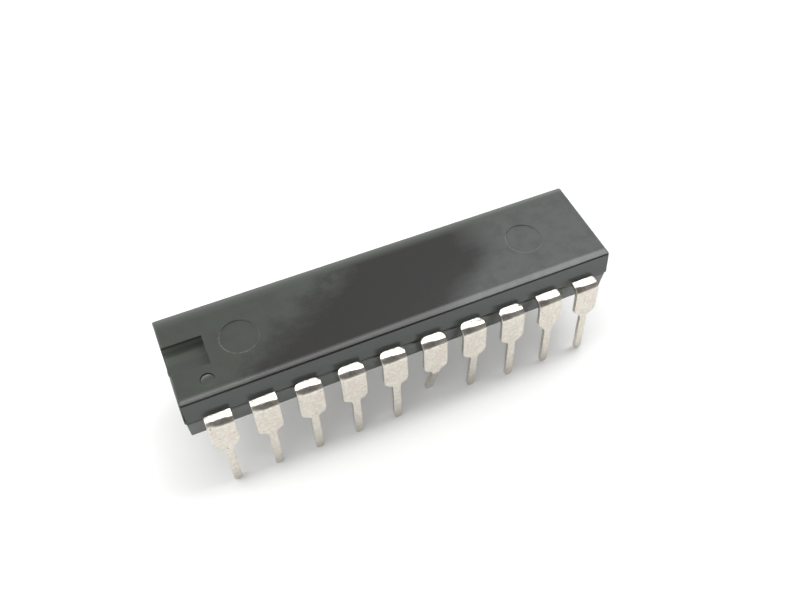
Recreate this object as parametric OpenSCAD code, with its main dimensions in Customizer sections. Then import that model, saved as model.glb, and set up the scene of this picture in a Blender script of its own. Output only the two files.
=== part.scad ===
// Dual in-line integrated circuit with twenty pins: an epoxy body moulded round a stamped lead frame.
// It stands on the tips of its pins. The origin is under the middle of the body, on the plane of the
// tips. X runs along the body, away from the notched end. The front row, pins 1 to 10, is at -Y.

/* [Body] */
// Length of the body at the parting line
body_len = 26.35; // [25.8:0.05:27.4]
// Width of the body at the parting line
body_wid = 6.36; // [6.1:0.02:6.7]
// Height of the body above the parting line
body_above = 1.58; // [1.4:0.02:2]
// Depth of the body below the parting line
body_below = 1.61; // [1.2:0.01:1.9]
// Draft of the long sides above the parting line, in degrees
side_draft = 8; // [3:0.5:10]
// Draft of the long sides below the parting line, in degrees
lower_draft = 4; // [2:0.5:10]
// Draft of the ends, in degrees
end_draft = 1.5; // [1:0.5:6]
// How far the lower mould half stands back from the upper one, all round
mould_step = 0.07; // [0.02:0.01:0.15]
// Width of the rounded rims along the long sides of the top face
rim_wid = 0.4; // [0.1:0.02:0.6]
// Depth of the rounded rims round the top face
rim_deep = 0.2; // [0.1:0.01:0.3]
// Width of the rounded rims at the ends of the top face
end_rim_wid = 0.1; // [0.05:0.01:0.2]
// Radius of the edges round the underside
lower_edge_r = 0.06; // [0.03:0.01:0.2]
// Radius of the four upright corners
corner_r = 0.12; // [0.06:0.01:0.3]
// Height of the thin land that the mould halves leave at the parting line
land_h = 0.03; // [0.01:0.01:0.06]

/* [Notch and marks] */
// Length of the end notch, from the end of the body inwards
notch_len = 2.34; // [1.5:0.01:3]
// Width of the end notch
notch_wid = 1.94; // [1.4:0.02:2.4]
// Depth of the end notch below the top face
notch_depth = 0.8; // [0.4:0.05:1.1]
// Diameter of the pin 1 dimple
dimple_dia = 0.82; // [0.6:0.02:1.2]
// Depth of the pin 1 dimple
dimple_depth = 0.1; // [0.05:0.01:0.3]
// Distance of the dimple from the notched end
dimple_from_end = 1.88; // [1.4:0.02:2.4]
// Distance of the dimple from the front side
dimple_from_side = 1.26; // [1:0.02:1.8]
// Diameter of the marks that the ejector pins leave
mark_dia = 2.2; // [1.6:0.05:2.8]
// Depth of the ejector marks
mark_depth = 0.06; // [0.03:0.01:0.2]
// Distance between the two ejector marks of a face
mark_apart = 17.88; // [15:0.02:18.5]
// How far the ejector marks lie behind the centre line
mark_back = 0.08; // [-0.2:0.02:0.3]

/* [Leads] */
// Distance from one pin to the next
pitch = 2.54; // [2.5:0.01:2.6]
// Distance between the two rows, just below the shoulders
row_gap = 7.62; // [7.3:0.02:8.2]
// Thickness of the lead frame
strip_t = 0.25; // [0.2:0.01:0.3]
// Width of the upper, wide part of a lead
lead_wid = 1.5; // [1.4:0.01:1.7]
// Length of the wide part, from the shoulder's bend to the neck
blade_len = 2.17; // [1.9:0.01:2.8]
// Width of the narrow pin
pin_wid = 0.48; // [0.4:0.01:0.56]
// Length of the narrow pin, from the neck to the tip
pin_len = 3.11; // [2.4:0.01:3.8]
// Inside radius of the shoulder's bend
bend_r = 0.2; // [0.12:0.01:0.28]
// How far the leads spread outwards from upright, in degrees
splay = 6.35; // [0:0.05:10]
// Radius of the lower corners of the wide part
blade_r = 0.4; // [0.2:0.01:0.5]
// Radius of the hollow corner where the wide part meets the pin
neck_r = 0.15; // [0.08:0.01:0.25]
// Radius of the corners of the pin's tip
tip_r = 0.19; // [0.08:0.01:0.19]
// Radius of the shoulder's back corners, on the leads that enter the body through a narrow root
shoulder_r = 0.3; // [0.15:0.01:0.35]
// Bend of pin 6 at its neck, inwards under the body, in degrees
pin_6_bent = 20.5; // [1:0.5:30]
// Bend of pin 7 at its neck, inwards, in degrees
pin_7_bent = 5; // [1:0.5:12]
// Inside radius of the bends at the neck
bent_r = 0.4; // [0.2:0.05:0.8]
// How much shorter the two bent pins are than the straight ones
bent_short = 0.03; // [0.02:0.01:0.3]

/* [Inside] */
// Length of the die paddle
pad_len = 5.8; // [5:0.1:6.4]
// Width of the die paddle
pad_wid = 2.5; // [2.2:0.05:2.7]
// Gap between the die paddle and the tips of the inner fingers
finger_gap = 0.3; // [0.2:0.02:0.4]
// Width of an inner finger where it turns
finger_wid = 0.5; // [0.35:0.01:0.6]
// Width of an inner finger at its tip
finger_tip_wid = 0.25; // [0.15:0.01:0.28]
// Width of the tie bars
tie_wid = 0.25; // [0.2:0.01:0.32]
// How far the tie bars lie behind the centre line
tie_back = 0.34; // [0:0.01:0.4]
// How far the cut ends of the tie bars stand out of the end faces
tie_stub = 0.04; // [0.02:0.01:0.2]
// Length of the silicon die
die_len = 3.4; // [3:0.05:4.4]
// Width of the silicon die
die_wid = 1.9; // [1.7:0.05:2.1]
// Thickness of the silicon die
die_t = 0.3; // [0.2:0.01:0.4]
// Thickness of the adhesive under the die
attach_t = 0.03; // [0.02:0.01:0.06]
// How far the adhesive shows round the die
attach_lip = 0.12; // [0.05:0.01:0.15]
// Diameter of the bond wires
wire_dia = 0.03; // [0.02:0.005:0.05]
// Angle at which the bond wires leave the die, in degrees
wire_rise = 60; // [40:1:75]

/* [Hidden] */
$fn = 32;
// Colours: mould compound, tin plate, bare nickel-iron alloy, adhesive, silicon, gold
epoxy_colour = [0.17, 0.18, 0.175];
tin_colour = [0.78, 0.77, 0.74];
alloy_colour = [0.55, 0.54, 0.52];
paste_colour = [0.7, 0.7, 0.72];
silicon_colour = [0.36, 0.4, 0.5];
gold_colour = [0.9, 0.72, 0.3];
// Pins in a row
row_pins = 10;
// Angle from upright of the cuts that narrow each lead to its pin: the first row is for the side of the
// lead nearer pin 1 or 11, the second for the other side. The four leads at the ends taper more slowly.
front_taper = [[42, 55, 55, 62, 58, 58, 55, 50, 35, 42], [45, 58, 62, 62, 60, 58, 60, 60, 30, 55]];
back_taper = [[42, 58, 60, 60, 60, 60, 60, 60, 58, 42], [42, 58, 60, 60, 60, 60, 60, 60, 58, 42]];
// Radius of each lower corner of the wide parts, in the same order, as a multiple of the usual one: the
// punch of some leads was rounder, or more worn
front_round = [[1.6, 0.8, 1, 1, 1.3, 1.2, 1.4, 1.2, 1, 1], [1.5, 1, 1, 1, 1, 1, 1.2, 1.2, 1, 1.2]];
back_round = [[1.5, 1, 1, 1, 1, 1, 1, 1, 1, 1.2], [1.5, 1, 1, 1, 1, 1, 1, 1, 1, 1.2]];
// Inner fingers, from the end of the row to its middle: how far from the centre line each one turns
finger_turn = [1.3, 1.95, 2.3, 2.45, 2.45];
// Spacing of the finger tips along the paddle's long and short sides
long_tips = 1.05;
short_tips = 0.4;
// First finger tip on the short side, from the centre line
short_first = 0.72;
// How far the wide roots of the end leads reach into the body, and how far back a wire lands on a finger
root_in = 0.55;
wire_land = 0.15;
// Bond pads: distance from the die's edge, spacing along its long and short sides, first on the short side
bond_in = 0.12;
bond_long = 0.6;
bond_short = 0.3;
bond_first = 0.25;
// Ball at the foot of a wire, as multiples of the wire
ball_wide = 3;
ball_high = 0.7;
// How far a cutting shape passes a surface, and how far two outlines of one solid run into each other
past = 0.5;
lap = 0.05;
// Thickness of the slices that a mould half is drawn through
thin = 0.001;
// Spare angle at each end of a bond wire, before it is cut level
wire_spare = 10;
// Least straight edge left beside the bend by the corners of a shoulder
least_edge = 0.005;
// Turn of the shoulder's bend, its radius in mid strip, and where it starts from the centre line
bend_angle = 90 - splay;
bend_mid_r = bend_r + strip_t / 2;
bend_start = row_gap / 2 - bend_mid_r * sin(bend_angle);
// Height of the parting line above the tips of the straight pins
parting_z = strip_t / 2 + bend_r * (1 - cos(bend_angle)) + (blade_len + pin_len) * sin(bend_angle);
// Distance of the body's side wall from the centre line
wall = body_wid / 2;
dimple_x = dimple_from_end - body_len / 2;
dimple_y = dimple_from_side - wall;
// Flat stretch of a shoulder between the body and the bend, and the back corners that it has room for
shoulder_len = bend_start - wall;
corner_left = min(shoulder_r, shoulder_len - least_edge);
// Levels of the inner pieces, from the parting line
frame_top = strip_t / 2;
pad_top = frame_top - die_t - attach_t;

// Points along an arc of a circle
function arc(centre, r, from, to, steps = 6) =
    [for (i = [0:steps]) let (a = from + (to - from) * i / steps) centre + r * [cos(a), sin(a)]];

// Height that a lead takes to narrow to its pin, for a cut at this angle from upright and this corner
function taper_drop(angle, r) =
    (r + neck_r) * sin(angle)
    + ((lead_wid - pin_wid) / 2 - (r + neck_r) * (1 - cos(angle))) / tan(angle);

// Right-hand edge of the wide part, from the bend down to the neck
function blade_edge(angle, r) = concat(
    [[lead_wid / 2, 0]],
    arc([lead_wid / 2 - r, taper_drop(angle, r) - blade_len], r, 0, -angle),
    arc([pin_wid / 2 + neck_r, -blade_len], neck_r, 180 - angle, 180)
);

// The same points in the other order, on the left
function mirrored(points) = [for (i = [len(points) - 1:-1:0]) [-points[i].x, points[i].y]];

// Place of a lead along its row, 1 to 10
function lead_x(j) = (j - (row_pins + 1) / 2) * pitch;

// The two leads at each end of a row enter the body at full width
function end_lead(j) = j <= 2 || j >= row_pins - 1;

// Number of a lead counted from the nearer end of its row, from 0, and the side of the middle it lies on
function from_end(j) = min(j, row_pins + 1 - j) - 1;
function side(j) = j <= row_pins / 2 ? -1 : 1;

// Where the tip of an inner finger lies, and where its wire leaves the die
function finger_tip(j) = from_end(j) < 2
    ? [side(j) * (pad_len / 2 + finger_gap), -(short_first + short_tips * from_end(j))]
    : [side(j) * long_tips * (row_pins / 2 - from_end(j) - 0.5), -(pad_wid / 2 + finger_gap)];
function bond_pad(j) = from_end(j) < 2
    ? [side(j) * (die_len / 2 - bond_in), -(bond_first + bond_short * from_end(j))]
    : [side(j) * bond_long * (row_pins / 2 - from_end(j) - 0.5), bond_in - die_wid / 2];
function finger_corner(j) = [lead_x(j), -finger_turn[from_end(j)]];

// A unit vector, and the same turned by a quarter
function unit(v) = v / norm(v);
function quarter(v) = [-v.y, v.x];

// Rectangle with rounded corners, centred
function rounded(half_len, half_wid) = [
    for (c = [[1, 1, 0], [-1, 1, 90], [-1, -1, 180], [1, -1, 270]])
        each arc([c.x * (half_len - corner_r), c.y * (half_wid - corner_r)], corner_r, c.z, c.z + 90)
];

// What one mould half makes: its sides draw in from the parting line, and its rim is part of an ellipse.
// step is how far it stands back at the parting line, draft is that of its long sides, and rim is the
// width of its rim at the ends and along the sides, and its depth.
module mould_half(height, step, draft, rim) {
    levels = concat([[0, 0], [land_h / 2, 0]], [
        for (a = [0:15:90]) [height - rim.z * (1 - sin(a)), 1 - cos(a)]
    ]);
    hull() for (level = levels) {
        rise = max(level[0] - land_h / 2, 0);
        translate([0, 0, max(level[0] - thin, 0)]) linear_extrude(thin) polygon(rounded(
            body_len / 2 - step - rise * tan(end_draft) - level[1] * rim.x,
            wall - step - rise * tan(draft) - level[1] * rim.y
        ));
    }
}

// Round recess in the top face, or in the underside for a negative height
module recess(x, y, dia, depth, height) {
    translate([x, y, height < 0 ? height - past : height - depth])
        cylinder(d = dia, h = depth + past, $fn = 64);
}

// Flat outline of a lead inside the body and out to its bend
module root_outline(j) {
    x = lead_x(j);
    tip = finger_tip(j);
    corner = finger_corner(j);
    across = quarter(unit(tip - corner));
    root_wid = end_lead(j) ? lead_wid : lead_wid - 2 * corner_left;
    back = concat([[lead_wid / 2, 0]], end_lead(j)
        ? [[lead_wid / 2, shoulder_len]]
        : arc([root_wid / 2, shoulder_len - corner_left], corner_left, 0, 90));
    translate([x, -bend_start]) polygon(concat(back, mirrored(back)));
    translate([x - root_wid / 2, -wall - lap]) square([root_wid, root_in + lap]);
    translate([x - finger_wid / 2, -wall]) square([finger_wid, wall + corner.y]);
    translate(corner) circle(d = finger_wid);
    polygon([
        corner + across * finger_wid / 2, tip + across * finger_tip_wid / 2,
        tip - across * finger_tip_wid / 2, corner - across * finger_wid / 2
    ]);
}

module root(j) {
    translate([0, 0, parting_z - strip_t / 2]) linear_extrude(strip_t) root_outline(j);
}

// A bend of the strip about the X axis, and what follows it, in its own frame after the bend. The strip
// comes in along -Y with its inner face at z = 0 and bends towards -Z.
module bent(r, angle, wid) {
    translate([0, 0, -r]) {
        if (angle > 0)
            rotate([180, -90, 0]) rotate_extrude(angle = angle, $fn = 64)
                translate([r, -wid / 2]) square([strip_t, wid]);
        rotate([angle, 0, 0]) translate([0, 0, r]) children();
    }
}

// Wide part of a lead, from the bend to the neck: the cut and the corner of its left and right sides
module blade(cuts, radii) {
    linear_extrude(strip_t)
        polygon(concat(blade_edge(cuts[1], radii[1]), mirrored(blade_edge(cuts[0], radii[0]))));
}

// Length left for the straight stretch of a pin after a bend at its neck, which takes up some of the strip
function pin_left(angle) =
    angle > 0 ? pin_len - bent_short - (bent_r + strip_t / 2) * angle * PI / 180 : pin_len;

// Narrow pin with a rounded tip. A pin that isn't bent starts a little way up in the wide part.
module pin(len, start) {
    half = concat([[pin_wid / 2, start]], arc([pin_wid / 2 - tip_r, tip_r - len], tip_r, 0, -90));
    linear_extrude(strip_t) polygon(concat(half, mirrored(half)));
}

// One lead of the front row: j is its number, 1 to 10
module lead(j, taper, rounding, neck_bend) {
    color(tin_colour) union() {
        root(j);
        translate([lead_x(j), -bend_start, parting_z - strip_t / 2]) bent(bend_r, bend_angle, lead_wid) {
            blade([for (row = taper) row[j - 1]], [for (row = rounding) row[j - 1] * blade_r]);
            translate([0, -blade_len, 0]) bent(bent_r, neck_bend, pin_wid)
                pin(pin_left(neck_bend), neck_bend > 0 ? 0 : lap);
        }
    }
}

module front_lead(j) {
    lead(j, front_taper, front_round, j == 6 ? pin_6_bent : j == 7 ? pin_7_bent : 0);
}

// The back row is the front row turned half round, with its pins straight
module back_lead(j) {
    rotate([0, 0, 180]) lead(j, back_taper, back_round, 0);
}

// Paddle sunk below the fingers, with a bar that climbs to the parting line at each end
module die_paddle() {
    color(alloy_colour) translate([0, 0, parting_z]) {
        translate([-pad_len / 2, -pad_wid / 2, pad_top - strip_t]) cube([pad_len, pad_wid, strip_t]);
        climb = frame_top - pad_top;
        end = body_len / 2 + tie_stub;
        for (s = [0, 1]) mirror([s, 0, 0]) translate([0, tie_back + tie_wid / 2, 0]) rotate([90, 0, 0])
            linear_extrude(tie_wid) polygon([
                [pad_len / 2 - strip_t, pad_top - strip_t], [pad_len / 2, pad_top - strip_t],
                [pad_len / 2 + climb, frame_top - strip_t], [end, frame_top - strip_t], [end, frame_top],
                [pad_len / 2 + climb, frame_top], [pad_len / 2, pad_top], [pad_len / 2 - strip_t, pad_top]
            ]);
    }
}

module die_attach() {
    color(paste_colour) translate([0, 0, parting_z + pad_top + attach_t / 2])
        cube([die_len + 2 * attach_lip, die_wid + 2 * attach_lip, attach_t], center = true);
}

module die() {
    color(silicon_colour) translate([0, 0, parting_z + pad_top + attach_t + die_t / 2])
        cube([die_len, die_wid, die_t], center = true);
}

// One wire: an arc over the gap from the die to the finger, cut level with both, on a ball
module bond_wire(j) {
    from = bond_pad(j);
    back = unit(finger_corner(j) - finger_tip(j)) * wire_land;
    span = finger_tip(j) + back - from;
    chord = norm(span);
    r = chord / 2 / sin(wire_rise);
    translate([from.x, from.y, parting_z + frame_top]) {
        cylinder(d = ball_wide * wire_dia, h = ball_high * wire_dia);
        rotate([0, 0, atan2(span.y, span.x)]) intersection() {
            translate([chord / 2, 0, -r * cos(wire_rise)]) rotate([90, 0, 0])
                rotate([0, 0, 90 - wire_rise - wire_spare])
                rotate_extrude(angle = 2 * (wire_rise + wire_spare), $fn = 64)
                    translate([r, 0]) circle(d = wire_dia, $fn = 16);
            translate([-r, -r, 0]) cube([chord + 2 * r, 2 * r, 2 * r]);
        }
    }
}

module bond_wires() {
    color(gold_colour) for (turn = [0, 180], j = [1:row_pins]) rotate([0, 0, turn]) bond_wire(j);
}

// Epoxy moulded round the frame, the die and its wires
module body() {
    color(epoxy_colour) difference() {
        translate([0, 0, parting_z]) difference() {
            union() {
                mould_half(body_above, 0, side_draft, [end_rim_wid, rim_wid, rim_deep]);
                mirror([0, 0, 1])
                    mould_half(body_below, mould_step, lower_draft, lower_edge_r * [1, 1, 1]);
            }
            translate([-body_len / 2 - past, -notch_wid / 2, body_above - notch_depth])
                cube([notch_len + past, notch_wid, notch_depth + past]);
            recess(dimple_x, dimple_y, dimple_dia, dimple_depth, body_above);
            for (s = [-1, 1]) {
                recess(s * mark_apart / 2, mark_back, mark_dia, mark_depth, body_above);
                recess(s * mark_apart / 2, 0, mark_dia, mark_depth, -body_below);
            }
        }
        for (turn = [0, 180], j = [1:row_pins]) rotate([0, 0, turn]) root(j);
        die_paddle();
        die_attach();
        die();
        bond_wires();
    }
}

body();
front_lead(1);  // lead_01
front_lead(2);  // lead_02
front_lead(3);  // lead_03
front_lead(4);  // lead_04
front_lead(5);  // lead_05
front_lead(6);  // lead_06
front_lead(7);  // lead_07
front_lead(8);  // lead_08
front_lead(9);  // lead_09
front_lead(10);  // lead_10
back_lead(1);  // lead_11
back_lead(2);  // lead_12
back_lead(3);  // lead_13
back_lead(4);  // lead_14
back_lead(5);  // lead_15
back_lead(6);  // lead_16
back_lead(7);  // lead_17
back_lead(8);  // lead_18
back_lead(9);  // lead_19
back_lead(10);  // lead_20
die_paddle();
die_attach();
die();
bond_wires();
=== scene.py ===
# Looks of a twenty-pin dual in-line integrated circuit: an epoxy body moulded round a tin-plated lead frame.
import math

import bmesh
import bpy
from mathutils import Matrix, Vector


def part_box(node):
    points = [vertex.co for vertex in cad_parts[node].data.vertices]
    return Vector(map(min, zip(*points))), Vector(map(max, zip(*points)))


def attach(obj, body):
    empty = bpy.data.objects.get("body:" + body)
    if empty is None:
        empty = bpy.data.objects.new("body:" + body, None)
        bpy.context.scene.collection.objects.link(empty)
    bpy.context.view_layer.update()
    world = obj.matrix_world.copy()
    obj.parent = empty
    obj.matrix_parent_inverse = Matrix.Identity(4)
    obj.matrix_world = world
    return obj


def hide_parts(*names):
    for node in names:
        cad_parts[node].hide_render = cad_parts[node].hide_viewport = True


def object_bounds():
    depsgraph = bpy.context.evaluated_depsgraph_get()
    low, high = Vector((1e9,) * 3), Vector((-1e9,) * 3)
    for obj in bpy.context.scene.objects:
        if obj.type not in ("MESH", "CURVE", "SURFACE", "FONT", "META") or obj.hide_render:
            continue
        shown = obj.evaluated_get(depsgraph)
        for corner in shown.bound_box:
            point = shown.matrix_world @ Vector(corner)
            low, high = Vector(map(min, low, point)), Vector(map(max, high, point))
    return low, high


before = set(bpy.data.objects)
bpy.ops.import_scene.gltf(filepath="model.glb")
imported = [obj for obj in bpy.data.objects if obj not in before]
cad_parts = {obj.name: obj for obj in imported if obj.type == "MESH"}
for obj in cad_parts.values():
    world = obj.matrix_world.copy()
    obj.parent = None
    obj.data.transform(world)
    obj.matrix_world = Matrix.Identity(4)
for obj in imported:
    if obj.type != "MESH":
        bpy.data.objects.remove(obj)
cad_low, cad_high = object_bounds()
MM = 0.001


# Bare lead frame
# The frame is stamped from rolled nickel-iron strip, a quarter of a millimetre thick. Its paddle and
# tie bars stay bare inside the epoxy. Only the cut ends of the two tie bars show, at the end faces.

class Signal:
    """One output of a shader node. Sums, differences and products of signals add Math nodes."""

    def __init__(self, finish, socket):
        self.finish = finish
        self.socket = socket

    def combine(self, operation, first, second):
        return self.finish.add("Math", {"operation": operation}, {0: first, 1: second})

    def __add__(self, other):
        return self.combine("ADD", self, other)

    def __radd__(self, other):
        return self.combine("ADD", other, self)

    def __sub__(self, other):
        return self.combine("SUBTRACT", self, other)

    def __rsub__(self, other):
        return self.combine("SUBTRACT", other, self)

    def __mul__(self, other):
        return self.combine("MULTIPLY", self, other)

    def __rmul__(self, other):
        return self.combine("MULTIPLY", other, self)

    def __truediv__(self, other):
        return self.combine("DIVIDE", self, other)

    def ramp(self, low, high):
        """0 below low, 1 above high, with a smooth rise between them."""
        return self.finish.add(
            "MapRange", {"interpolation_type": "SMOOTHSTEP"},
            {"Value": self, "From Min": low, "From Max": high},
        )

    def band(self, start, full, last, end):
        """1 from full to last, with a smooth rise before it and a smooth fall after it."""
        return self.ramp(start, full) * (1 - self.ramp(last, end))


class Finish:
    """The node tree of one surface or of the surroundings, and the one way of adding a node to it."""

    def __init__(self, owner):
        self.owner = owner
        owner.use_nodes = True
        self.tree = owner.node_tree
        self.tree.nodes.clear()

    def add(self, kind, settings=None, sockets=None, output=0):
        """Adds a node with its settings, and the value or the signal that each of its sockets takes."""
        node = self.tree.nodes.new("ShaderNode" + kind)
        for name, value in (settings or {}).items():
            setattr(node, name, value)
        for key, value in (sockets or {}).items():
            if isinstance(value, Signal):
                self.tree.links.new(value.socket, node.inputs[key])
            else:
                node.inputs[key].default_value = value
        return Signal(self, node.outputs[output]) if node.outputs else None

    def place(self, stretch=(1, 1, 1)):
        """Where a point lies on the chip, in metres, with each axis multiplied by its stretch."""
        spot = self.add("TexCoord", output="Object")
        return self.add("Mapping", {}, {"Vector": spot, "Scale": stretch})

    def axes(self, vector):
        """The three coordinates of a vector."""
        return [self.add("SeparateXYZ", {}, {0: vector}, name) for name in "XYZ"]

    def distance(self, x, y):
        """How far a point lies from the upright line at x and y."""
        level = self.place(stretch=(1, 1, 0))
        return self.add("VectorMath", {"operation": "DISTANCE"}, {0: level, 1: (x, y, 0)}, "Value")

    def noise(self, size, detail=3, roughness=0.5, stretch=(1, 1, 1), output="Fac"):
        """Soft blotches about as large as size, in metres."""
        sockets = {"Vector": self.place(stretch), "Scale": 1 / size, "Detail": detail, "Roughness": roughness}
        return self.add("TexNoise", {}, sockets, output)

    def mix(self, share, first, second):
        """A colour between two others."""
        return self.add("Mix", {"data_type": "RGBA"}, {"Factor": share, 6: first, 7: second}, 2)

    def dots(self, spacing, radius, share):
        """1 in round dots strewn at about this spacing, in this share of the places, and 0 elsewhere."""
        sockets = {"Vector": self.place(), "Scale": 1 / spacing}
        distance = self.add("TexVoronoi", {}, sockets, "Distance")
        luck = self.add("SeparateColor", {}, {0: self.add("TexVoronoi", {}, sockets, "Color")}, 0)
        chosen = luck.ramp(1 - share, 1 - share * 0.6)
        return (1 - distance.ramp(radius / spacing * 0.5, radius / spacing)) * chosen

    def bump(self, height, depth):
        """A normal turned by a relief of this depth, in metres."""
        return self.add("Bump", {}, {"Height": height, "Distance": depth})

    def surface(self, sockets):
        """Ends the tree in a principled shader."""
        shader = self.add("BsdfPrincipled", {}, sockets)
        self.add("OutputMaterial", {}, {"Surface": shader})
        return self.owner


def rgb(red, green, blue):
    return (red, green, blue, 1)


def rolled_strip():
    """Bare strip: fine lines along the rolling direction, and a faint tarnish."""
    finish = Finish(bpy.data.materials.new("rolled_strip"))
    lines = finish.noise(0.08 * MM, 4, 0.6, stretch=(0.05, 1, 1))
    tarnish = finish.noise(1.5 * MM, 4).ramp(0.35, 0.7)
    return finish.surface({
        "Base Color": finish.mix(tarnish, rgb(0.46, 0.44, 0.41), rgb(0.30, 0.28, 0.25)),
        "Metallic": 1.0,
        "Roughness": 0.26 + lines * 0.2,
        "Normal": finish.bump(lines, 0.002 * MM),
    })


def dress(node, material):
    """Gives a CAD node that stays as it is its finish."""
    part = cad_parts[node]
    part.data.materials.clear()
    part.data.materials.append(material)
    return part


dress("die_paddle", rolled_strip())


# Die and its adhesive
# The silicon die is sawn from a wafer and polished, and a thin bed of silver-filled adhesive holds it
# on the paddle. Both are sealed in the epoxy.

def silver_paste():
    """Cured adhesive full of silver flakes."""
    finish = Finish(bpy.data.materials.new("silver_paste"))
    flakes = finish.noise(0.03 * MM, 2, 0.7)
    return finish.surface({
        "Base Color": finish.mix(flakes, rgb(0.52, 0.52, 0.53), rgb(0.74, 0.73, 0.72)),
        "Metallic": flakes.ramp(0.4, 0.6) * 0.7,
        "Roughness": 0.42 + flakes * 0.2,
        "Normal": finish.bump(flakes, 0.006 * MM),
    })


def patterned_silicon():
    """Polished silicon with blocks of circuit lines in its surface."""
    finish = Finish(bpy.data.materials.new("patterned_silicon"))
    sockets = {"Vector": finish.place(), "Scale": 1 / (0.35 * MM), "Randomness": 0.0}
    block = finish.add("TexVoronoi", {"distance": "CHEBYCHEV"}, sockets, "Distance").ramp(0.42, 0.48)
    lines = finish.noise(0.02 * MM, 2, 0.6, stretch=(0.1, 1, 1))
    field = finish.mix(lines, rgb(0.16, 0.19, 0.26), rgb(0.30, 0.27, 0.36))
    return finish.surface({
        "Base Color": finish.mix(block, field, rgb(0.50, 0.46, 0.38)),
        "Metallic": 0.6,
        "Roughness": 0.12 + block * 0.15,
        "Normal": finish.bump(block + lines * 0.3, 0.001 * MM),
    })


dress("die_attach", silver_paste())
dress("die", patterned_silicon())


# Bond wires
# Gold wires, thinner than a hair, run from the pads of the die to the tips of the inner fingers.
# Each starts in a ball and ends in a flat stitch.

def drawn_gold():
    """Soft gold wire with faint drawing marks."""
    finish = Finish(bpy.data.materials.new("drawn_gold"))
    marks = finish.noise(0.01 * MM, 2, 0.5)
    return finish.surface({
        "Base Color": finish.mix(marks, rgb(0.86, 0.62, 0.22), rgb(0.95, 0.74, 0.34)),
        "Metallic": 1.0,
        "Roughness": 0.18 + marks * 0.12,
    })


dress("bond_wires", drawn_gold())


# Leads
# Twenty leads of the same strip, tin-plated after moulding, then cut free and formed down. Punching leaves
# their edges slightly rounded. Handling has left small pits, specks and a duller tip on each pin.

lead_count = 20
lead_edge = 0.018 * MM
lead_edge_angle = 35
weld_reach = 0.0005 * MM
flat_angle = 0.5
bend_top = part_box("lead_01")[1].z
bend_low = bend_top - 0.6 * MM
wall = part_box("body")[1].y
slope_length = 0.37 * MM
slope_drop = 0.062 * MM


def tin_plate():
    """Matte tin: cream and pinkish mottle, small dark pits, and greyer tips where it has rubbed."""
    finish = Finish(bpy.data.materials.new("tin_plate"))
    mottle = finish.noise(0.2 * MM, 5, 0.7)
    blush = finish.noise(0.3 * MM, 3, 0.6)
    grain = finish.noise(0.05 * MM, 3, 0.6)
    pits = finish.dots(0.26 * MM, 0.05 * MM, 0.36)
    spots = finish.dots(0.6 * MM, 0.12 * MM, 0.35)
    height = finish.axes(finish.place())[2]
    tip = 1 - height.ramp(0.0, 1.2 * MM)
    tin = finish.mix(mottle.ramp(0.36, 0.64), rgb(0.71, 0.68, 0.605), rgb(0.575, 0.54, 0.475))
    tin = finish.mix(blush.ramp(0.52, 0.66) * 0.8, tin, rgb(0.63, 0.54, 0.515))
    tin = finish.mix(spots * 0.35, tin, rgb(0.45, 0.42, 0.38))
    tin = finish.mix(tip * 0.5, tin, rgb(0.50, 0.49, 0.46))
    tin = finish.mix(pits * 0.8, tin, rgb(0.16, 0.15, 0.13))
    return finish.surface({
        "Base Color": tin,
        "Metallic": 1.0,
        "Roughness": 0.10 + mottle * 0.06 + spots * 0.15 + tip * 0.12,
        "Normal": finish.bump(grain * 0.5 + mottle - pits * 1.5, 0.004 * MM),
    })


def alone(part):
    """Leaves one object selected and active."""
    bpy.ops.object.select_all(action="DESELECT")
    part.select_set(True)
    bpy.context.view_layer.objects.active = part


def finish_edges(part, width, angle, flat=False):
    """Rounds the edges of a piece that turn by more than an angle. If flat is set, its largest faces alone
    set the shading along their borders."""
    alone(part)
    bevel = part.modifiers.new("edges", "BEVEL")
    bevel.width = width
    bevel.segments = 2
    bevel.limit_method = "ANGLE"
    bevel.angle_limit = math.radians(angle)
    bevel.use_clamp_overlap = False
    bpy.ops.object.modifier_apply(modifier="edges")
    bpy.ops.object.shade_smooth()
    shading = part.modifiers.new("shading", "WEIGHTED_NORMAL")
    shading.keep_sharp = True
    if flat:
        shading.weight = 100
        shading.thresh = 0
    bpy.ops.object.modifier_apply(modifier="shading")


def merged_copy(node, name):
    """A copy of a CAD node with its triangles joined and its flat faces made whole."""
    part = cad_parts[node].copy()
    part.data = part.data.copy()
    part.name = part.data.name = name
    part.parent = None
    bpy.context.scene.collection.objects.link(part)
    alone(part)
    bpy.ops.mesh.customdata_custom_splitnormals_clear()
    bpy.ops.object.mode_set(mode="EDIT")
    bpy.ops.mesh.select_all(action="SELECT")
    bpy.ops.mesh.remove_doubles(threshold=weld_reach)
    bpy.ops.mesh.dissolve_limited(angle_limit=math.radians(flat_angle))
    bpy.ops.mesh.normals_make_consistent(inside=False)
    bpy.ops.object.mode_set(mode="OBJECT")
    return part


def slope_shoulder(lead, side):
    """Lets the shoulder slope down a little from the body to the bend."""
    alone(lead)
    bpy.ops.object.mode_set(mode="EDIT")
    bpy.ops.mesh.select_all(action="SELECT")
    bpy.ops.mesh.bisect(plane_co=(0, side * wall, bend_top), plane_no=(0, 1, 0))
    bpy.ops.mesh.mark_sharp()
    bpy.ops.object.mode_set(mode="OBJECT")
    group = lead.vertex_groups.new(name="shoulder")
    for vertex in lead.data.vertices:
        reach = side * vertex.co.y - wall
        if reach > 0 and vertex.co.z > bend_low:
            group.add([vertex.index], min(reach / slope_length, 1), "REPLACE")
    sink = lead.modifiers.new("slope", "DISPLACE")
    sink.direction = "Z"
    sink.mid_level = 0
    sink.strength = -slope_drop
    sink.vertex_group = group.name
    bpy.ops.object.modifier_apply(modifier="slope")


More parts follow.
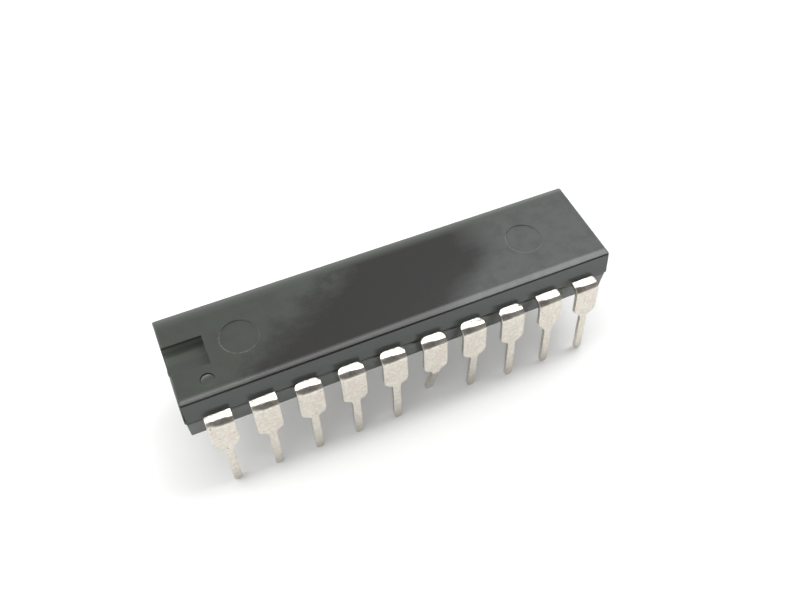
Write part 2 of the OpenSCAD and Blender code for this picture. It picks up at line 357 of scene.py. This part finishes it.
tin = tin_plate()
for number in range(1, lead_count + 1):
    node = f"lead_{number:02d}"
    lead = merged_copy(node, f"formed_{node}")
    slope_shoulder(lead, -1 if number <= lead_count / 2 else 1)
    finish_edges(lead, lead_edge, lead_edge_angle)
    lead.data.materials.clear()
    lead.data.materials.append(tin)
    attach(lead, "root")
    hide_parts(node)


# Body
# Black epoxy moulding compound, pressed round the frame between two mould halves. Each half draws in from
# the parting line for release. The mould leaves a notch at the end of pin 1, a dimple beside it, and the
# round marks of its ejector pins.

body_low, body_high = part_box("body")
half_length = body_high.x
half_width = body_high.y
parting = bend_top - 0.125 * MM
land = 0.03 * MM
side_draft = math.radians(8)
lower_draft = math.radians(4)
end_draft = math.radians(1.5)
mould_step = 0.07 * MM
rim_roll = 1.75 * MM
rim_tilt = 14
rim_radius = 0.1 * MM
rim_depth = 0.14 * MM
end_rim_share = 0.25
lower_edge = 0.06 * MM
corner_radius = 0.12 * MM
notch_length = 2.34 * MM
notch_width = 1.94 * MM
notch_depth = 0.8 * MM
notch_fillet = 0.05 * MM
body_edge = 0.02 * MM
body_edge_angle = 40
dimple_place = (body_low.x + 1.88 * MM, body_low.y + 1.26 * MM)
dimple_radius = 0.41 * MM
dimple_depth = 0.1 * MM
mark_radius = 1.1 * MM
mark_depth = 0.06 * MM
mark_offset = 8.94 * MM
mark_back = 0.08 * MM
past = 0.5 * MM
wiped_left = -5.6 * MM
wiped_right = 6.2 * MM


def select_faces(test):
    """In edit mode, leaves selected the faces of the edited mesh that pass a test."""
    bpy.ops.mesh.select_mode(type="FACE")
    bpy.ops.mesh.select_all(action="DESELECT")
    mesh = bmesh.from_edit_mesh(bpy.context.edit_object.data)
    for face in mesh.faces:
        if test(face):
            face.select_set(True)
    mesh.select_flush(True)
    bmesh.update_edit_mesh(bpy.context.edit_object.data)


def rim_section(arcs):
    """Depth below the face and inset from the wall at each point of a rim, from the wall to the face. The
    arcs run the other way: each has a radius, its first and last tilt in degrees, and a number of steps."""
    reach = depth = 0.0
    points = [(reach, depth)]
    for radius, first, last, steps in arcs:
        for step in range(steps):
            start = math.radians(first + (last - first) * step / steps)
            end = math.radians(first + (last - first) * (step + 1) / steps)
            reach += radius * (math.sin(end) - math.sin(start))
            depth += radius * (math.cos(start) - math.cos(end))
            points.append((reach, depth))
    return [(depth, points[-1][0] - reach) for reach, depth in reversed(points)]


def slices(height, step, draft, section, end_share):
    """Level, half length and half width of each outline that a mould half passes through. Its rim follows
    a section, narrowed to a share of its width at the two ends."""
    levels = [(0, 0), (land / 2, 0)]
    for depth, inset in section:
        levels.append((height - depth, inset))
    outlines = []
    for level, inset in levels:
        rise = max(level - land / 2, 0)
        length = half_length - step - rise * math.tan(end_draft) - inset * end_share
        width = half_width - step - rise * math.tan(draft) - inset
        outlines.append((level, length, width))
    return outlines


def draw_through(outlines, facing):
    """Draws the selected face on through the other outlines of one mould half, up or down."""
    for last, following in zip(outlines, outlines[1:]):
        rise = facing * (following[0] - last[0])
        bpy.ops.mesh.extrude_region_move(TRANSFORM_OT_translate={"value": (0, 0, rise)})
        ratio = (following[1] / last[1], following[2] / last[2], 1)
        level = parting + facing * following[0]
        bpy.ops.transform.resize(value=ratio, center_override=(0, 0, level))


def moulded_block():
    """The body before anything is cut into it."""
    bpy.ops.object.select_all(action="DESELECT")
    bpy.ops.mesh.primitive_plane_add(size=2, location=(0, 0, parting))
    block = bpy.context.active_object
    block.name = block.data.name = "moulded_body"
    block.scale = (half_length, half_width, 1)
    bpy.ops.object.transform_apply(location=True, rotation=True, scale=True)
    bpy.ops.object.mode_set(mode="EDIT")
    bpy.ops.mesh.select_all(action="SELECT")
    bpy.ops.mesh.bevel(offset=corner_radius, segments=8, affect="VERTICES", offset_type="OFFSET")
    bpy.ops.mesh.select_all(action="SELECT")
    upper_rim = rim_section([(rim_roll, 0, rim_tilt, 6), (rim_radius, rim_tilt, 82, 8)])
    draw_through(slices(body_high.z - parting, 0, side_draft, upper_rim, end_rim_share), 1)
    bpy.ops.mesh.select_all(action="SELECT")
    bpy.ops.mesh.normals_make_consistent(inside=False)
    select_faces(lambda face: face.normal.z < -0.99)
    bpy.ops.mesh.inset(thickness=mould_step, depth=0)
    lower_rim = rim_section([(lower_edge, 0, 86, 4)])
    draw_through(slices(parting - body_low.z, mould_step, lower_draft, lower_rim, 1), -1)
    bpy.ops.mesh.select_all(action="SELECT")
    bpy.ops.mesh.normals_make_consistent(inside=False)
    bpy.ops.object.mode_set(mode="OBJECT")
    return block


def block_cutter(low, high, edge=0.0):
    """A box that cuts a pocket, with rounded edges if it is given an edge radius."""
    bpy.ops.object.select_all(action="DESELECT")
    centre = [(a + b) / 2 for a, b in zip(low, high)]
    bpy.ops.mesh.primitive_cube_add(size=1, location=centre)
    cutter = bpy.context.active_object
    cutter.scale = [b - a for a, b in zip(low, high)]
    bpy.ops.object.transform_apply(location=True, rotation=True, scale=True)
    if edge:
        bpy.ops.object.mode_set(mode="EDIT")
        bpy.ops.mesh.select_all(action="SELECT")
        bpy.ops.mesh.bevel(offset=edge, segments=4, affect="EDGES")
        bpy.ops.object.mode_set(mode="OBJECT")
    return cutter


def round_cutter(x, y, radius, low, high):
    """A disc that cuts a round recess."""
    bpy.ops.object.select_all(action="DESELECT")
    bpy.ops.mesh.primitive_cylinder_add(
        vertices=96, radius=radius, depth=high - low, location=(x, y, (low + high) / 2)
    )
    bpy.ops.object.transform_apply(location=True, rotation=True, scale=True)
    return bpy.context.active_object


def cut(part, cutters):
    """Takes the cutters out of a piece."""
    for cutter in cutters:
        alone(part)
        modifier = part.modifiers.new("cut", "BOOLEAN")
        modifier.operation = "DIFFERENCE"
        modifier.solver = "EXACT"
        modifier.object = cutter
        bpy.ops.object.modifier_apply(modifier="cut")
        bpy.data.objects.remove(cutter)


def wiped_patch(finish, x, y, cloud):
    """1 where the haze has been wiped off the top. Its two edges lean, and waver along faint rubs."""
    rubs = finish.noise(0.14 * MM, 5, 0.6, stretch=(0.05, 1, 1))
    waver = (cloud - 0.5) * 5.5 * MM + (rubs - 0.5) * 1.8 * MM
    forward = finish.add("Math", {"operation": "MINIMUM"}, {0: y, 1: 0.0})
    left_edge = (x - wiped_left - y * 1.5 + waver).ramp(-2.4 * MM, 2.4 * MM)
    right_edge = (x - wiped_right - forward * 1.2 + waver * 0.5).ramp(-1.5 * MM, 1.5 * MM)
    return left_edge * (1 - right_edge)


def mark_rim_glints(finish, x, y, grain):
    """Painted highlights in grains on the rims of the two ejector marks, on the side of the notch and the
    front.
    """
    rim_glints = 0
    for side in (-1, 1):
        off_rim = finish.distance(side * mark_offset, mark_back) - mark_radius
        ring = off_rim.band(-0.08 * MM, -0.01 * MM, 0.01 * MM, 0.07 * MM)
        facing = (side * mark_offset - x + mark_back - y).ramp(-0.2 * MM, 0.9 * MM)
        rim_glints = ring * facing * grain.ramp(0.4, 0.65) + rim_glints
    return rim_glints


def moulding_compound():
    """Black epoxy under a grey-green haze, which is brownish in places and wiped off in the middle of the
    top. Painted light and shade on it: a lighter back strip on the top, a dark rim line, walls paler upwards
    and on the lower half, a lighter notch, a dark parting line, a dark dimple ring and highlights on the
    ejector-mark rims."""
    finish = Finish(bpy.data.materials.new("moulding_compound"))
    x, y, z = finish.axes(finish.place())
    depth = body_high.z - z
    level = z - parting
    aside = finish.add("Math", {"operation": "ABSOLUTE"}, {0: y})
    grain = finish.noise(0.06 * MM, 4, 0.65)
    cloud = finish.noise(1.6 * MM, 4, 0.6)
    stain = finish.noise(0.8 * MM, 5, 0.65)
    specks = finish.dots(0.9 * MM, 0.045 * MM, 0.1)

    sunk = depth.ramp(0.12 * MM, 0.3 * MM)
    haze = finish.mix(x.ramp(-11 * MM, 9 * MM), rgb(0.045, 0.053, 0.043), rgb(0.075, 0.082, 0.079))
    haze = finish.mix(cloud.ramp(0.35, 0.7) * 0.4, haze, rgb(0.032, 0.033, 0.030))
    haze = finish.mix(stain.ramp(0.42, 0.68) * 0.16, haze, rgb(0.036, 0.030, 0.027))
    wiped = wiped_patch(finish, x, y, cloud) * (1 - sunk)
    epoxy = finish.mix(wiped * 0.95, haze, rgb(0.0125, 0.0110, 0.0105))
    # Painted reflection: a lighter strip along the back edge of the top, the same along its whole length.
    epoxy = finish.mix(y.ramp(2.1 * MM, 2.6 * MM) * 0.8, epoxy, rgb(0.068, 0.075, 0.067))

    flank = aside.ramp(2.3 * MM, 2.6 * MM)
    # Painted shade: the rounded rim of the top is made dark, for the dark line below its highlight.
    rim_painted_shade = flank * depth.ramp(rim_depth * 0.35, rim_depth * 0.7)
    # Painted light: the walls grow lighter towards the top, and the lower half is paler still.
    wall_light_rise = level.ramp(0, body_high.z - parting)
    wall_haze_and_light = finish.mix(wall_light_rise, rgb(0.047, 0.056, 0.053), rgb(0.060, 0.067, 0.064))
    wall_haze_and_light = finish.mix(1 - level.ramp(-0.3 * MM, 0), wall_haze_and_light, rgb(0.085, 0.095, 0.091))
    # Painted shadow: a dark line along the parting line, under the ledge of the upper half.
    painted_parting_shadow = level.band(-0.34 * MM, -0.22 * MM, 0.03 * MM, 0.10 * MM) * aside.ramp(2.9 * MM, 3.0 * MM)
    epoxy = finish.mix(rim_painted_shade, epoxy, rgb(0.008, 0.009, 0.008))
    epoxy = finish.mix(flank * depth.ramp(rim_depth * 0.9, rim_depth * 1.3), epoxy, wall_haze_and_light)

    inwards = x - body_low.x
    along_notch = inwards.band(0.05 * MM, 0.08 * MM, notch_length + 0.2 * MM, notch_length + 0.4 * MM)
    across_notch = 1 - aside.ramp(notch_width * 0.5, notch_width * 0.51)
    above_floor = 1 - depth.ramp(notch_depth + 0.05 * MM, notch_depth + 0.1 * MM)
    # Painted light: the notch's walls and floor are lighter than the top, most towards its back wall.
    notch_painted_light = finish.mix(y.ramp(0.05 * MM, 0.8 * MM), rgb(0.050, 0.057, 0.049), rgb(0.118, 0.132, 0.113))
    epoxy = finish.mix(sunk * along_notch * across_notch * above_floor, epoxy, notch_painted_light)
    epoxy = finish.mix(painted_parting_shadow, epoxy, rgb(0.004, 0.005, 0.005))

    # Painted shade: a dark ring round the inside of the dimple's rim.
    off_dimple = finish.distance(*dimple_place) - dimple_radius
    dimple_painted_shade = off_dimple.band(-0.04 * MM, -0.015 * MM, 0.02 * MM, 0.03 * MM)
    dimple_painted_shade = dimple_painted_shade * depth.ramp(0.002 * MM, 0.012 * MM)
    epoxy = finish.mix(dimple_painted_shade, epoxy, rgb(0.012, 0.013, 0.012))
    # Painted highlights: light grains on the ejector-mark rims, on the side towards the notch and the front.
    rim_glints = mark_rim_glints(finish, x, y, grain) * (1 - sunk)
    epoxy = finish.mix(rim_glints * 0.35, epoxy, rgb(0.40, 0.41, 0.38))
    epoxy = finish.mix(specks, epoxy, rgb(0.55, 0.55, 0.52))

    rough = 0.17 - rim_painted_shade * 0.07 + cloud * 0.03 + stain * 0.05 + specks * 0.3 + dimple_painted_shade * 0.5
    rounded_land = 1 - level.ramp(-0.02 * MM, 0.12 * MM)
    return finish.surface({
        "Base Color": epoxy,
        "Metallic": 0.0,
        "Roughness": rough,
        "IOR": 1.5,
        "Normal": finish.bump(grain - rounded_land * 18, 0.002 * MM),
    })


block = moulded_block()
notch_low = (body_low.x - past, -notch_width / 2, body_high.z - notch_depth)
notch_high = (body_low.x + notch_length, notch_width / 2, body_high.z + past)
cutters = [block_cutter(notch_low, notch_high, notch_fillet)]
cutters.append(round_cutter(*dimple_place, dimple_radius, body_high.z - dimple_depth, body_high.z + past))
for side in (-1, 1):
    x = side * mark_offset
    cutters.append(round_cutter(x, mark_back, mark_radius, body_high.z - mark_depth, body_high.z + past))
    cutters.append(round_cutter(x, 0, mark_radius, body_low.z - past, body_low.z + mark_depth))
cut(block, cutters)
finish_edges(block, body_edge, body_edge_angle, flat=True)
block.data.materials.clear()
block.data.materials.append(moulding_compound())
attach(block, "root")
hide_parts("body")


# Studio
# A pale floor in a soft room: a broad light overhead, widest on the right, a dimmer ceiling behind it that
# brightens far back, pale walls at the left and right, and a dark front that pales towards the horizon.
# The camera stands where the photograph was taken.

def pale_floor():
    """Smooth pale board with the faintest unevenness. Seen directly or in a gloss, it is near white."""
    finish = Finish(bpy.data.materials.new("pale_floor"))
    tone = finish.noise(40 * MM, 2)
    board = finish.mix(tone, rgb(0.78, 0.78, 0.775), rgb(0.80, 0.80, 0.795))
    seen = 0
    for kind in ("Camera", "Glossy", "Transmission"):
        seen = finish.add("LightPath", output=f"Is {kind} Ray") + seen
    return finish.surface({
        "Base Color": finish.mix(seen, board, rgb(0.97, 0.97, 0.965)),
        "Roughness": 0.9,
        "Specular IOR Level": 0.1,
    })


bpy.ops.object.select_all(action="DESELECT")
bpy.ops.mesh.primitive_plane_add(size=6, location=(0, 0, cad_low.z))
floor = bpy.context.active_object
floor.name = "floor"
floor.data.materials.append(pale_floor())

world = bpy.data.worlds.new("studio")
bpy.context.scene.world = world
room = Finish(world)
direction = room.add("TexCoord", output="Generated")
east, north, rise = room.axes(direction)
steep = room.add("Math", {"operation": "MAXIMUM"}, {0: rise, 1: 0.02})
across = east / steep
away = north / steep
above = rise.ramp(0.02, 0.12)
past_front = (away - 0.13 + across.ramp(0.18, 0.42) * 0.15).ramp(-0.03, 0.03)
past_back = (away - 0.30 - across.ramp(0.12, 0.36) * 0.20).ramp(-0.06, 0.06)
overhead = past_front * (1 - past_back) * (1 - across.ramp(0.8, 1.1)) * above
overhead_level = 2.5 + across.ramp(-0.4, -0.1) * 3.7 - across.ramp(0.1, 0.3) * 1.1
ceiling = past_back * above
far_ceiling = away.ramp(1.20, 1.45) * above
left_wall = (1 - across.ramp(-0.7, -0.3)) * above
right_wall = across.ramp(0.9, 1.3) * away.ramp(-0.1, 0.3) * above
horizon = 1 - rise.ramp(0.05, 0.5)
sides = (1 - east.ramp(-0.05, 0.15)) * 0.07 + east.ramp(0.2, 0.42) * 0.12
front = 0.18 + sides * (1 - ceiling) + horizon * 0.26
light = front + overhead * overhead_level + ceiling * 0.66 + (far_ceiling + left_wall + right_wall) * 0.9
camera_ray = room.add("LightPath", output="Is Camera Ray")
seen_light = light * (1 - camera_ray) + camera_ray
background = room.add("Background", {}, {"Color": rgb(1.0, 1.0, 1.0), "Strength": seen_light})
room.add("OutputWorld", {}, {"Surface": background})

camera_place = Vector((-11.513, -26.625, 45.035)) * MM
camera_aim = Vector((0.24857, 0.53972, -0.80431))
camera_up = Vector((0.31974, 0.73810, 0.59411))
focal_length = 37.201
camera_data = bpy.data.cameras.new("camera")
camera_data.lens = focal_length
camera_data.sensor_width = 36
camera_data.clip_start = 1 * MM
camera_data.clip_end = 10
camera = bpy.data.objects.new("camera", camera_data)
bpy.context.scene.collection.objects.link(camera)
camera.location = camera_place
camera_right = camera_aim.cross(camera_up)
camera.rotation_mode = "QUATERNION"
camera.rotation_quaternion = Matrix((camera_right, camera_up, -camera_aim)).transposed().to_quaternion()
bpy.context.scene.camera = camera
bpy.context.scene.view_settings.view_transform = "Standard"
